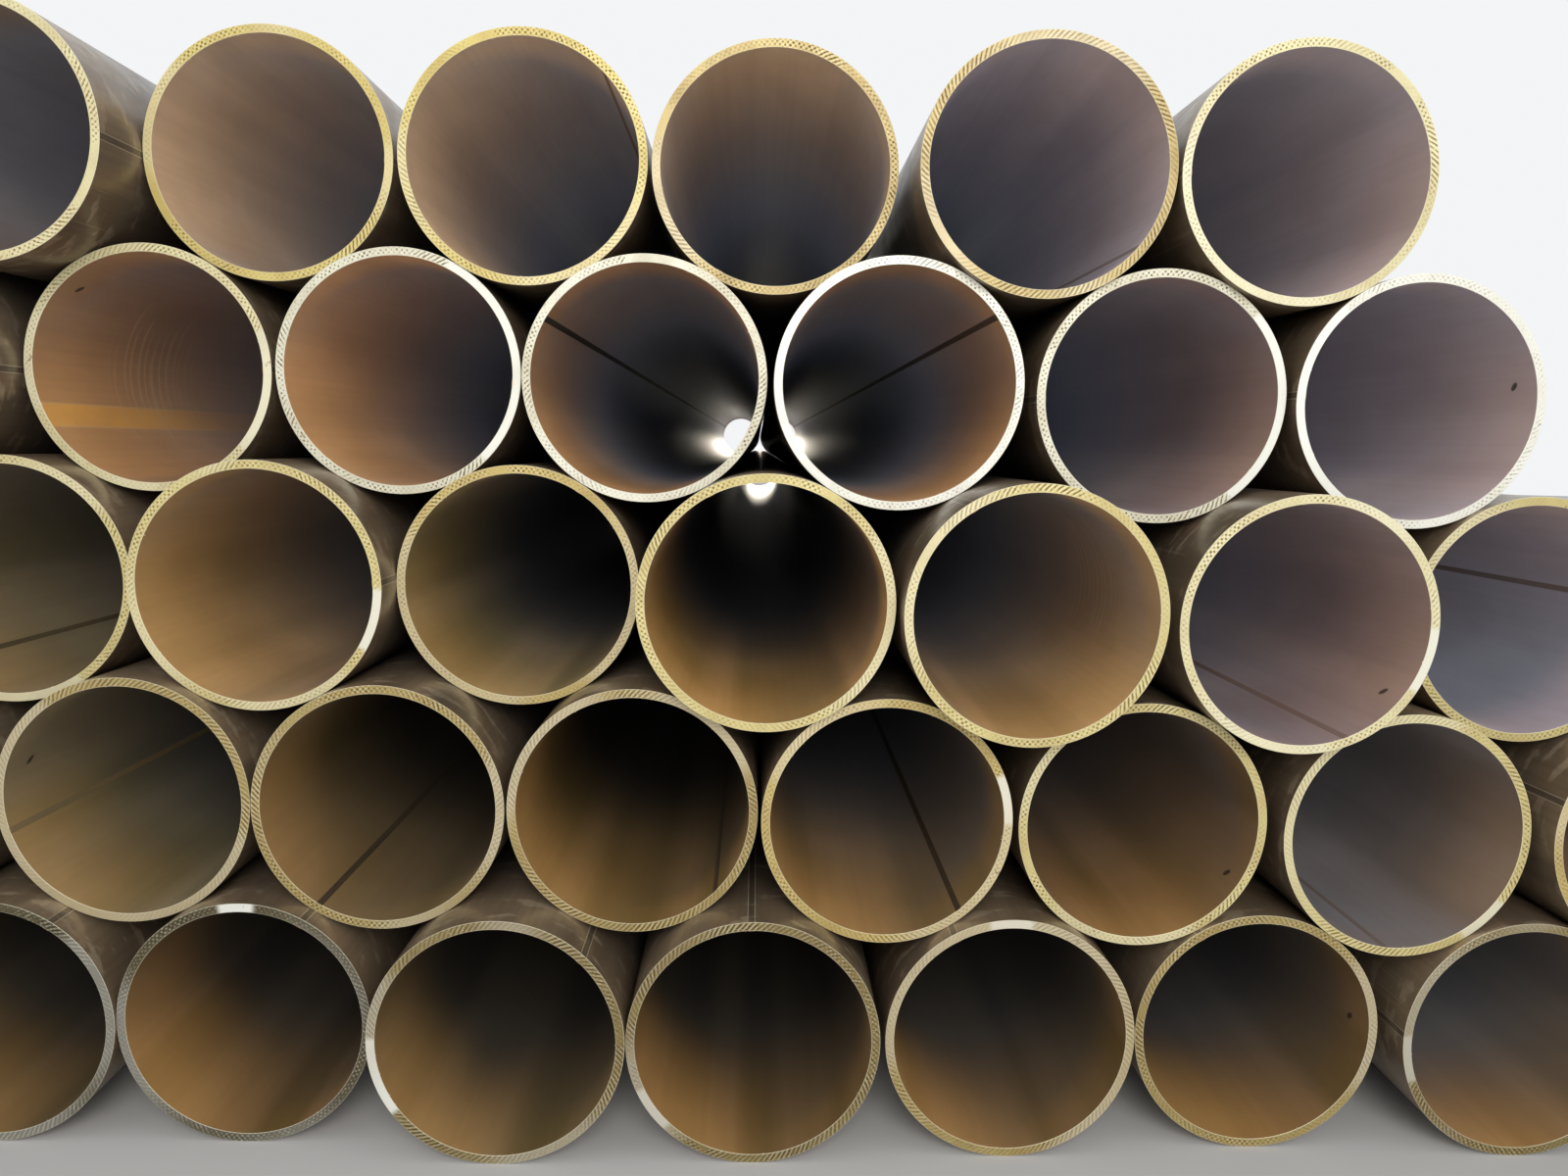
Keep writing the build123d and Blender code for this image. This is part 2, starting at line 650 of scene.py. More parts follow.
    def striped(self, bench: ShaderBench, colour: Term, turn: Term, reach: Term, cloud: Term) -> Term:
        """Return the colour with the rust stripe and its paler edges.

        Args:
            bench: The bench on the material's tree.
            colour: The bore's colour.
            turn: The angle round the pipe.
            reach: The distance from the mouth.
            cloud: Soft patches where the stripe is thinner.

        Returns:
            The new colour.
        """
        at, half, strength = bench.split(bench.attribute(STRIPE))
        off = bench.apart(turn, at) - half
        band = bench.fade(off, -0.012, 0.012) * (1.0 - bench.ramp(reach, 0.05, 0.9) * 0.8)
        band = band * (1.0 - cloud * 0.35)
        colour = bench.blend(band * strength, colour, self.stripe_orange)
        edge = bench.fade(abs(off), 0.004, 0.016) * strength
        return bench.blend(edge * 0.35, colour, self.stripe_edge)

    def chatter(self, bench: ShaderBench, turn: Term, reach: Term) -> Term:
        """Return the rings that a chattering tool left over part of the turn.

        Args:
            bench: The bench on the material's tree.
            turn: The angle round the pipe.
            reach: The distance from the mouth.

        Returns:
            The rings' strength, from 0 to 1.
        """
        at, begins, strength = bench.split(bench.attribute(CHATTER))
        unevenness = bench.noise(bench.combine(reach, 0.0, 0.0), 21.0, 1.0)
        rings = bench.ramp(bench.math("SINE", reach * self.rings_rate + unevenness * 9.0), 0.45, 0.95)
        into = reach - begins
        window = bench.ramp(into, -0.06, 0.04) * bench.fade(into, 0.24, 0.36)
        window = window * bench.fade(bench.apart(turn, at + (unevenness - 0.5) * 1.6), 0.30, 0.62)
        return rings * window * strength

    def nicked(self, bench: ShaderBench, colour: Term, turn: Term, reach: Term) -> Term:
        """Return the colour with one short slanting nick, where the pipe has one.

        Args:
            bench: The bench on the material's tree.
            colour: The bore's colour.
            turn: The angle round the pipe.
            reach: The distance from the mouth.

        Returns:
            The new colour.
        """
        at, distance, _ = bench.split(bench.attribute(NICK))
        round_parts, along_parts = self.nick_fineness
        aside = bench.math("WRAP", turn - at, pi, -pi) * round_parts
        ahead = (reach - distance) * along_parts + aside * 0.7
        nick = bench.fade(aside * aside + ahead * ahead, 0.5, 1.3)
        return bench.blend(nick * bench.ramp(distance, 0.0, 0.001) * 0.85, colour, self.nick_dark)


@dataclass(frozen=True)
class MillCoat(Finish):
    """The outside of a pipe: dark glossy coating over brown scale, with a flush seam.

    The coating stops short of the ends, where brown scale shows, lightened with painted light. Each pair of
    colours is for the dark and the light parts of a cloud.
    """

    relief: float = 0.3 * MM
    seam_half: float = 6.2 * MM
    coating: tuple[Colour, Colour] = (paint(58, 58, 61), paint(86, 82, 79))
    # Bare scale at the ends, lightened with painted light
    lit_bare_scale: tuple[Colour, Colour] = (paint(116, 99, 79), paint(144, 124, 98))
    scuff_tan: Colour = paint(186, 168, 140)
    rust_brown: Colour = paint(136, 98, 68)
    worn_grey: Colour = paint(76, 74, 76)
    drawn_brown: Colour = paint(60, 50, 42)
    scratch_tan: Colour = paint(168, 150, 122)
    seam_brown: Colour = paint(60, 54, 46)
    seam_light: Colour = paint(196, 184, 158)

    def sockets(self, bench: ShaderBench) -> dict[str, object]:
        """Return the surface's sockets: coating, bare ends with painted light, scuffs, rust, scratches and
        the seam.

        Args:
            bench: The bench on the material's tree.

        Returns:
            Socket names with their values.
        """
        spot = self.own_spot(bench)
        _, along, _ = bench.split(bench.attribute(PLACE))
        reach = self.from_mouth(bench, along)
        cloud = bench.noise(bench.drawn(spot, 0.035), 7.0, 2.0, 0.5)
        # Bare scale near the ends, lightened with painted light
        bare_lit_end = bench.fade(reach + (cloud - 0.5) * 0.4, 0.0, 0.45)
        scuff = bench.ramp(bench.noise(bench.drawn(spot, 2.0), 16.0, 3.0), 0.56, 0.66)
        rust = bench.noise(bench.drawn(spot, 0.6), 19.0, 4.0, 0.65)
        worn = bench.noise(bench.drawn(spot, 0.12), 11.0, 3.0, 0.6)
        lines = bench.noise(bench.drawn(spot, 0.02), 120.0, 1.0)
        scratch = bench.ramp(lines, 0.72, 0.75)
        seam_x, _, seam_z = bench.split(bench.attribute(SEAM_SPOT))
        from_seam = abs(seam_z)
        seam_side = bench.math("GREATER_THAN", seam_x, 0.0)
        seam_edge = bench.fade(abs(from_seam - self.seam_half), 0.4 * MM, 1.1 * MM) * seam_side
        seam_band = bench.fade(from_seam, self.seam_half - 0.4 * MM, self.seam_half + 0.4 * MM) * seam_side
        colour = bench.layered(
            bench.blend(bench.ramp(cloud, 0.34, 0.66), *self.coating),
            (bare_lit_end, bench.blend(bench.ramp(cloud, 0.36, 0.64), *self.lit_bare_scale)),
            (scuff * bare_lit_end * 0.5, self.scuff_tan),
            (bench.ramp(rust, 0.54, 0.72) * 0.35, self.rust_brown),
            (bench.ramp(worn, 0.56, 0.70) * 0.22, self.worn_grey),
            (bench.ramp(lines, 0.35, 0.65) * 0.14, self.drawn_brown),
            (scratch * 0.35, self.scratch_tan),
            (seam_band * 0.5, self.seam_brown),
            (seam_edge * 0.7, self.seam_light),
        )
        return {
            "Base Color": colour,
            "Metallic": 0.3,
            "Roughness": 0.33 + bench.ramp(rust, 0.35, 0.70) * 0.16,
            "Coat Weight": 0.3,
            "Coat Roughness": 0.18,
            "Normal": self.bump(bench, seam_edge + scratch * 0.3, 0.3, self.relief),
        }


@dataclass(frozen=True)
class SeamSteel(Finish):
    """The trimmed weld land along the bore: dark scale in some pipes, rust like the wall's in others."""

    relief: float = 0.2 * MM
    scale: tuple[Colour, Colour] = (paint(42, 39, 34), paint(62, 57, 47))
    scale_brown: Colour = paint(76, 62, 46)
    rust_shade: Colour = paint(232, 226, 216)

    def sockets(self, bench: ShaderBench) -> dict[str, object]:
        """Return the surface's sockets: fine lines along the land, between rust and dark scale.

        Args:
            bench: The bench on the material's tree.

        Returns:
            Socket names with their values.
        """
        spot = self.own_spot(bench)
        lines = bench.noise(bench.drawn(spot, 0.01), 300.0, 2.0)
        cloud = bench.noise(spot, 12.0, 2.0)
        scale = bench.blend(bench.ramp(lines, 0.35, 0.65), *self.scale)
        scale = bench.blend(bench.ramp(cloud, 0.5, 0.7) * 0.4, scale, self.scale_brown)
        rust = bench.shaded(bench.attribute(BORE_TINT, "Color"), self.rust_shade)
        return {
            "Base Color": bench.blend(bench.attribute(SEAM_DARK, "Fac"), rust, scale),
            "Roughness": 0.52,
            "Specular IOR Level": 0.35,
            "Normal": self.bump(bench, bench.ramp(lines, 0.3, 0.7), 0.3, self.relief),
        }


@dataclass
class Finishes:
    """The four finishes of a pipe, built once and shared by all pipes."""

    outer: float
    inner: float
    length: float
    coat: bpy.types.Material = field(init=False)
    bore: bpy.types.Material = field(init=False)
    face: bpy.types.Material = field(init=False)
    seam: bpy.types.Material = field(init=False)

    def __post_init__(self) -> None:
        """Build the materials."""
        sizes = (self.outer, self.inner, self.length)
        self.face = FacedSteel("faced_steel", *sizes).build()
        self.bore = BoreScale("bore_scale", *sizes).build()
        self.coat = MillCoat("mill_coat", *sizes).build()
        self.seam = SeamSteel("seam_steel", *sizes).build()


class GrowthBench(Bench):
    """A bench for Geometry Nodes trees."""

    def __init__(self, name: str) -> None:
        """Start a geometry tree with one geometry output.

        Args:
            name: The tree's name.
        """
        tree = bpy.data.node_groups.new(name, "GeometryNodeTree")
        super().__init__(tree)
        for way in ("INPUT", "OUTPUT"):
            tree.interface.new_socket("Geometry", in_out=way, socket_type="NodeSocketGeometry")
        self.ids: dict[str, str] = {}
        self.start = self.node("NodeGroupInput")

    def size(self, name: str, kind: str = "Float") -> Term:
        """Add a named input to the tree.

        Args:
            name: The input's name.
            kind: The socket's type without its prefix.

        Returns:
            The input's value.
        """
        item = self.tree.interface.new_socket(name, in_out="INPUT", socket_type=f"NodeSocket{kind}")
        self.ids[name] = item.identifier
        return Term(self, self.start.outputs[name])

    def sizes(self, *names: str, kind: str = "Float") -> list[Term]:
        """Add several named inputs of one kind and return them."""
        return [self.size(name, kind) for name in names]

    def grow(self, name: str, values: dict[str, object]) -> bpy.types.Object:
        """Run the tree and return the result as a plain mesh object.

        Args:
            name: The new piece's name.
            values: Input names with their values.

        Returns:
            The grown piece, linked to the scene.
        """
        carrier = bpy.data.objects.new(f"{name}.carrier", bpy.data.meshes.new(f"{name}.seed"))
        bpy.context.scene.collection.objects.link(carrier)
        modifier = carrier.modifiers.new("grow", "NODES")
        modifier.node_group = self.tree
        for key, value in values.items():
            modifier[self.ids[key]] = value
        graph = bpy.context.evaluated_depsgraph_get()
        mesh = bpy.data.meshes.new_from_object(carrier.evaluated_get(graph), depsgraph=graph)
        mesh.name = name
        for slot in reversed(range(len(mesh.materials))):
            if mesh.materials[slot] is None:
                mesh.materials.pop(index=slot)
        carrier.modifiers.remove(modifier)
        bpy.data.objects.remove(carrier)
        piece = bpy.data.objects.new(name, mesh)
        bpy.context.scene.collection.objects.link(piece)
        return piece

    def move(self, geometry: Term, position: Term, chosen: Value = True) -> Term:
        """Return the geometry with its chosen points moved to a position."""
        inputs = {"Geometry": geometry, "Selection": chosen, "Position": position}
        return self.term("GeometryNodeSetPosition", inputs=inputs)

    def transform(self, geometry: Term, **ways: Term) -> Term:
        """Return the geometry as a whole, moved or turned."""
        inputs = {name.capitalize(): value for name, value in ways.items()}
        return self.term("GeometryNodeTransform", inputs={"Geometry": geometry, **inputs})

    def random(self, label: str, seed: Term, low: float, high: float) -> Term:
        """Return a number that differs from point to point.

        Args:
            label: What the number is for, shown on its node.
            seed: What sets the draw.
            low: The least value.
            high: The greatest value.

        Returns:
            The number.
        """
        index = self.term("GeometryNodeInputIndex")
        settings = {"data_type": "FLOAT", "label": label}
        node = self.node("FunctionNodeRandomValue", settings, {"ID": index, "Seed": seed})
        for name, value in (("Min", low), ("Max", high)):
            next(s for s in node.inputs if s.name == name and s.type == "VALUE").default_value = value
        return Term(self, next(s for s in node.outputs if s.type == "VALUE"))

    def join(self, parts: list[Term]) -> Term:
        """Join several geometries.

        Args:
            parts: The geometries in order.

        Returns:
            All of them as one.
        """
        join = self.node("GeometryNodeJoinGeometry")
        for part in parts:
            self.feed(join.inputs[0], part)
        return Term(self, join.outputs[0])

    def compare(self, operation: str, first: Term, second: Value) -> Term:
        """Compare two numbers; equal means closer than a thousandth.

        Args:
            operation: The comparison.
            first: The left number.
            second: The right number.

        Returns:
            Whether it holds.
        """
        settings = {"data_type": "FLOAT", "operation": operation}
        inputs = {0: first, 1: second}
        if operation == "EQUAL":
            inputs["Epsilon"] = 0.001
        return self.term("FunctionNodeCompare", settings, inputs)

    def store(self, geometry: Term, name: str, data_type: str, value: object, domain: str = "POINT") -> Term:
        """Return the geometry with a named attribute stored on it.

        Args:
            geometry: What to store it on.
            name: The attribute's name.
            data_type: The attribute's type.
            value: A Term or a plain value.
            domain: Where it is stored.

        Returns:
            The geometry with the attribute.
        """
        settings = {"data_type": data_type, "domain": domain}
        inputs = {"Geometry": geometry, "Name": name, "Value": value}
        return self.term("GeometryNodeStoreNamedAttribute", settings, inputs)


class Part(Enum):
    """The parts of a pipe that have a finish of their own."""

    COAT = 0
    BORE = 1
    FACE = 2
    SEAM = 3


@dataclass
class Band:
    """One ring-shaped strip of the pipe's skin, and where it lies on the pipe's map."""

    part: Part
    radius: Term
    depth: Term
    flip: bool
    map_from: float
    map_to: float
    map_rows: float = 1.0

    @property
    def lengthwise(self) -> bool:
        """Return whether the strip runs along the pipe."""
        return self.part in (Part.COAT, Part.BORE)


class PipeTree(GrowthBench):
    """Grows one welded pipe along +Y from its front end."""

    END_ROWS = 4
    ROW_MARGIN = 0.04
    MAP_LOW = 0.004
    MAP_HIGH = 0.996
    WELD_DISTANCE = 0.02 * MM
    SHARP_ANGLE = radians(25.0)
    LAND_SHORT_OF_LENGTH = 0.4 * MM
    LAND_TAPER = 0.86
    LAND_MAP_ROW = 0.965
    BURR_LENGTH = 2.2 * MM
    BURR_TIP = 0.12 * MM
    BURR_FOOT = 0.6 * MM

    def __init__(self) -> None:
        """Build the tree."""
        super().__init__("welded_pipe")
        self.outer, self.wall, self.length, self.edge_break = self.sizes(
            "Outer Radius", "Wall", "Length", "Edge Break"
        )
        self.facets, self.steps = self.sizes("Facets", "Length Steps", kind="Int")
        seam_width, seam_height, turn = self.sizes("Seam Width", "Seam Height", "Seam Turn")
        place = self.size("Place", "Vector")
        burr_count = self.size("Burrs", "Int")
        burr_size = self.size("Burr Size")
        seed = self.size("Seed", "Int")
        looks = {name: self.size(name, kind) for name, kind in LOOK_KINDS.items()}
        finishes = self.sizes("Coat", "Bore", "Face", "Seam", kind="Material")

        self.spot = self.term("GeometryNodeInputPosition")
        self.inner = self.outer - self.wall
        skin = self.join([self.strip(band) for band in self.bands()])
        inputs = {"Geometry": skin, "Distance": self.WELD_DISTANCE}
        skin = self.term("GeometryNodeMergeByDistance", inputs=inputs)
        land = self.transform(self.land(seam_width, seam_height), rotation=self.combine(0.0, -turn, 0.0))
        pipe = self.join([skin, land, self.burrs(burr_count, burr_size, seed)])
        pipe = self.store(pipe, PLACE, "FLOAT_VECTOR", self.spot)
        inputs = {"Vector": self.spot, "Angle": turn}
        from_seam = self.term("ShaderNodeVectorRotate", {"rotation_type": "Y_AXIS"}, inputs)
        pipe = self.store(pipe, SEAM_SPOT, "FLOAT_VECTOR", from_seam)
        for name, kind in LOOK_KINDS.items():
            pipe = self.store(pipe, name, STORED_AS[kind], looks[name])
        pipe = self.store(pipe, SEED, "FLOAT", seed * 1.0)
        pipe = self.smoothed(self.transform(pipe, translation=place))
        pipe = self.term("GeometryNodeRealizeInstances", inputs={0: pipe})
        part = self.term("GeometryNodeInputNamedAttribute", {"data_type": "INT"}, {"Name": PART})
        for kind, finish in zip(Part, finishes):
            chosen = self.compare("EQUAL", part, float(kind.value))
            inputs = {"Geometry": pipe, "Selection": chosen, "Material": finish}
            pipe = self.term("GeometryNodeSetMaterial", inputs=inputs)
        self.node("NodeGroupOutput", inputs={0: pipe})

    def smoothed(self, pipe: Term) -> Term:
        """Shade the pipe smooth, but for its sharp edges.

        Args:
            pipe: The pipe's geometry.

        Returns:
            The shaded pipe.
        """
        inputs = {"Geometry": pipe, "Shade Smooth": True}
        pipe = self.term("GeometryNodeSetShadeSmooth", {"domain": "FACE"}, inputs)
        sharp = self.compare("GREATER_THAN", self.term("GeometryNodeInputMeshEdgeAngle"), self.SHARP_ANGLE)
        inputs = {"Geometry": pipe, "Selection": sharp, "Shade Smooth": False}
        return self.term("GeometryNodeSetShadeSmooth", {"domain": "EDGE"}, inputs)

    def grid_steps(self) -> tuple[Term, ...]:
        """Return how far a grid's point is along its two sides, from 0 to 1, and a third number."""
        return self.split(self.vector("ADD", self.spot, (0.5, 0.5, 0.0)))

    def bands(self) -> list[Band]:
        """Return the strips that close up into the pipe's skin.

        Returns:
            The strips, with places on a shared square map: the front end has four rows of
            it to itself, because that is where the finest marks are.
        """
        step = self.grid_steps()[1]
        eased = step * step * (3.0 - 2.0 * step)
        run = self.edge_break + eased * (self.length - self.edge_break * 2.0)
        rise = self.math("MULTIPLY", step, 3.0, clamp=True)
        flat = self.math("SUBTRACT", step * 3.0, 1.0, clamp=True)
        fall = self.math("SUBTRACT", step * 3.0, 2.0, clamp=True)
        across = self.inner + self.edge_break * (rise + fall) + (self.wall - self.edge_break * 2.0) * flat
        lip = self.edge_break * (1.0 - rise + fall)
        return [
            Band(Part.COAT, self.outer, run, True, 0.010, 0.350),
            Band(Part.BORE, self.inner, run, False, 0.360, 0.700),
            Band(Part.FACE, across, lip, True, 0.710, 0.880, 4.0),
            Band(Part.FACE, across, self.length - lip, False, 0.890, 0.930),
        ]

    def strip(self, band: Band) -> Term:
        """Make one strip of the skin, wrapped round the axis.

        Args:
            band: The strip's form and place on the map.

        Returns:
            The strip, with its map and its part of the pipe stored on it.
        """
        rows = self.steps + 1.0 if band.lengthwise else self.END_ROWS
        inputs = {"Size X": 1.0, "Size Y": 1.0, "Vertices X": self.facets + 1.0, "Vertices Y": rows}
        grid = self.term("GeometryNodeMeshGrid", inputs=inputs)
        around, step, _ = self.grid_steps()
        grid = self.store(grid, BAKE_MAP, "FLOAT2", self.map_place(band, around, step), "CORNER")
        angle = around * FULL_TURN
        x = band.radius * self.math("COSINE", angle)
        z = band.radius * self.math("SINE", angle)
        grid = self.move(grid, self.combine(x, band.depth, z))
        grid = self.store(grid, PART, "INT", band.part.value, "FACE")
        return self.term("GeometryNodeFlipFaces", inputs={0: grid}) if band.flip else grid

    def map_place(self, band: Band, around: Term, step: Term) -> Term:
        """Return where a point of a strip lies on the pipe's map.

        Args:
            band: The strip.
            around: How far round the pipe the point is, from 0 to 1.
            step: How far across the strip the point is, from 0 to 1.

        Returns:
            The place on the map, with a third number of 0.
        """
        u, v = step, around
        if not band.lengthwise:
            settings = {"data_type": "FLOAT", "domain": "FACE"}
            middle = self.term("GeometryNodeFieldOnDomain", settings, {0: around})
            row = self.math("FLOOR", middle * band.map_rows)
            u = around * band.map_rows - row
            v = (row + self.ROW_MARGIN + step * (1.0 - 2.0 * self.ROW_MARGIN)) / band.map_rows
        map_u = u * (self.MAP_HIGH - self.MAP_LOW) + self.MAP_LOW
        map_v = v * (band.map_to - band.map_from) + band.map_from
        return self.combine(map_u, map_v, 0.0)

    def land(self, width: Term, height: Term) -> Term:
        """Return the weld's trimmed land, on the +X side of the bore and rooted in the wall.

        Args:
            width: The land's width.
            height: How far it stands in from the bore.

        Returns:
            The land, narrower at its top.
        """
        root = self.wall * 0.1
        size = self.combine(height + root, self.length - self.LAND_SHORT_OF_LENGTH, width)
        land = self.term("GeometryNodeMeshCube", inputs={"Size": size, "Vertices Y": self.steps + 1.0})
        middle = self.inner + (root - height) * 0.5
        land = self.transform(land, translation=self.combine(middle, self.length * 0.5, 0.0))
        x, y, z = self.split(self.spot)
        map_along = y / self.length * (self.MAP_HIGH - self.MAP_LOW) + self.MAP_LOW
        map_spot = self.combine(map_along, self.LAND_MAP_ROW + z * 1.6 + (x - middle) * 2.0, 0.0)
        land = self.store(land, BAKE_MAP, "FLOAT2", map_spot, "CORNER")
        tapered = self.vector("MULTIPLY", self.spot, (1.0, 1.0, self.LAND_TAPER))
        land = self.move(land, tapered, self.compare("LESS_THAN", x, self.inner))
        return self.store(land, PART, "INT", Part.SEAM.value, "FACE")

    def burrs(self, count: Term, size: Term, seed: Term) -> Term:
        """Return small burrs left on the inner edge of the front end.

        Args:
            count: How many burrs there are.
            size: The length of a middling burr.
            seed: What sets their places.

        Returns:
            The burrs, pointing inwards.
        """
        points = self.term("GeometryNodePoints", inputs={"Count": count})
        spin = self.random("Spin", seed, 0.0, FULL_TURN)
        ring = self.inner + self.edge_break * 0.3
        x = ring * self.math("COSINE", spin)
        z = ring * self.math("SINE", spin)
        points = self.move(points, self.combine(x, self.edge_break + self.BURR_FOOT, z))
        form = {
            "Vertices": 5,
            "Radius Top": self.BURR_TIP,
            "Radius Bottom": self.BURR_FOOT,
            "Depth": self.BURR_LENGTH,
        }
        burr = self.term("GeometryNodeMeshCone", inputs=form)
        small_map = self.vector("MULTIPLY_ADD", self.spot, (3.0, 3.0, 0.0), (0.95, 0.992, 0.0))
        burr = self.store(burr, BAKE_MAP, "FLOAT2", small_map, "CORNER")
        lean = self.random("Lean", seed + 3.0, -2.2, 2.2)
        out = self.random("Out", seed + 9.0, 0.0, 0.05)
        inward = {"Vector": self.combine(z * lean - x, out, -(x * lean) - z)}
        turn = self.term("FunctionNodeAlignRotationToVector", {"axis": "Z"}, inward)
        grow = self.random("Grow", seed + 5.0, 0.4, 1.5) * (size / self.BURR_LENGTH)
        scale = self.combine(grow, grow, grow)
        inputs = {"Points": points, "Instance": burr, "Rotation": turn, "Scale": scale}
        burrs = self.term("GeometryNodeInstanceOnPoints", inputs=inputs)
        burrs = self.term("GeometryNodeRealizeInstances", inputs={0: burrs})
        return self.store(burrs, PART, "INT", Part.FACE.value, "FACE")


@dataclass
class Pipe:
    """One pipe of the stack, read from its node in the frame."""

    node: str
    look: Look
    edge_break: float = 0.6 * MM
    facets: int = 128
    length_steps: int = 8
    burr_count: int = 14
    burr_size: float = 2.0 * MM
    low: Vector = field(init=False)
    high: Vector = field(init=False)
    inner_radius: float = field(init=False)
    seam_width: float = field(init=False)
    seam_height: float = field(init=False)
    seam_turn: float = field(init=False)

    def __post_init__(self) -> None:
        """Measure the pipe on the frame's node."""
        self.low, self.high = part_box(self.node)
        x, z = self.across()
        radii = np.hypot(x, z)
        inside = radii < self.outer_radius - THINNEST_WALL
        self.inner_radius = float(np.median(radii[inside]))
        land = radii < self.inner_radius - LEAST_SEAM_HEIGHT
        self.seam_turn = atan2(z[land].mean(), x[land].mean())
        sideways = z[land] * cos(self.seam_turn) - x[land] * sin(self.seam_turn)
        self.seam_width = float(np.ptp(sideways))
        self.seam_height = self.inner_radius - float(radii[land].mean())

    @property
    def outer_radius(self) -> float:
        """Return the pipe's outside radius."""
        return (self.high.x - self.low.x) / 2

    @property
    def length(self) -> float:
        """Return the pipe's length."""
        return self.high.y - self.low.y

    @property
    def front(self) -> Vector:
        """Return the middle of the front end."""
        return Vector(((self.low.x + self.high.x) / 2, self.low.y, (self.low.z + self.high.z) / 2))

    def across(self) -> tuple[np.ndarray, np.ndarray]:
        """Read the points of the frame's node across the pipe.

        Returns:
            How far each point is sideways and upwards from the axis.
        """
        mesh = bpy.data.objects[self.node].data
        points = np.empty(len(mesh.vertices) * 3, np.float32)
        mesh.vertices.foreach_get("co", points)
        points = points.reshape(-1, 3).astype(float)
        return points[:, 0] - self.front.x, points[:, 2] - self.front.z

    def build(self, tree: PipeTree, finishes: Finishes, seed: int) -> bpy.types.Object:
        """Grow the dressed pipe in place of the frame's node.

        Args:
            tree: The tree that grows a pipe.
            finishes: The shared materials.
            seed: A number that sets this pipe's own patterns.

        Returns:
            The new piece.
        """
        values = {
            "Outer Radius": self.outer_radius,
            "Wall": self.outer_radius - self.inner_radius,
            "Length": self.length,
            "Edge Break": self.edge_break,
            "Facets": self.facets,
            "Length Steps": self.length_steps,
            "Seam Width": self.seam_width,
            "Seam Height": self.seam_height,
            "Seam Turn": self.seam_turn,
            "Place": tuple(self.front),
            "Burrs": self.burr_count,
            "Burr Size": self.burr_size,
            "Seed": seed,
            **self.look.values(),
            "Coat": finishes.coat,
            "Bore": finishes.bore,
            "Face": finishes.face,
            "Seam": finishes.seam,
        }
        piece = tree.grow(f"dressed_{self.node}", values)
        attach(piece, "root")
        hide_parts(self.node)
        return piece


@dataclass
class PipeStack:
    """The whole stack, row by row from the ground."""

    rows: dict[str, list[Look]]

    def build(self) -> list[bpy.types.Object]:
        """Grow every pipe.

        Returns:
            The pieces, in order from the ground row's left end.
        """
        tree = PipeTree()
        pipes = [
            Pipe(f"{row}_pipe_{number}", look)
            for row, looks in self.rows.items()
            for number, look in enumerate(looks, start=1)
        ]
        first = pipes[0]
        finishes = Finishes(first.outer_radius, first.inner_radius, first.length)
        return [pipe.build(tree, finishes, seed) for seed, pipe in enumerate(pipes, start=1)]


@dataclass
class Viewpoint:
    """The camera, as solved from the pipe ends in the photograph."""

    place: Vector
    focal_px: float
    turn_right: float
    look_down: float
    roll: float
    image_width: int = 1600
    sensor_width_mm: float = 36.0
    sees_to: float = 200.0

    def build(self) -> None:
        """Make the camera the scene's own."""
        lens = bpy.data.cameras.new("viewpoint")
        lens.sensor_width = self.sensor_width_mm
        lens.lens = self.focal_px / self.image_width * self.sensor_width_mm
        lens.clip_end = self.sees_to
        camera = bpy.data.objects.new("viewpoint", lens)
        aim = Matrix.Rotation(-self.turn_right, 4, "Z") @ Matrix.Rotation(pi / 2 - self.look_down, 4, "X")
        camera.matrix_world = Matrix.Translation(self.place) @ aim @ Matrix.Rotation(self.roll, 4, "Z")
        bpy.context.scene.collection.objects.link(camera)
        bpy.context.scene.camera = camera


@dataclass(frozen=True)
class Lamp:
    """A square soft lamp that faces a target; spread is how wide its beam opens."""

    name: str
    place: tuple[float, float, float]
    target: tuple[float, float, float]
    side: float
    watts: float
    colour: tuple[float, float, float]
    spread: float = pi

    def build(self) -> None:
        """Hang the lamp where the camera can't see it."""
        light = bpy.data.lights.new(self.name, "AREA")
        light.spread = self.spread
        light.size = self.side
        light.energy = self.watts
        light.color = self.colour
        lamp = bpy.data.objects.new(self.name, light)
        aim = (Vector(self.target) - Vector(self.place)).to_track_quat("-Z", "Y")
        lamp.matrix_world = Matrix.Translation(self.place) @ aim.to_matrix().to_4x4()
        lamp.visible_camera = False
        bpy.context.scene.collection.objects.link(lamp)


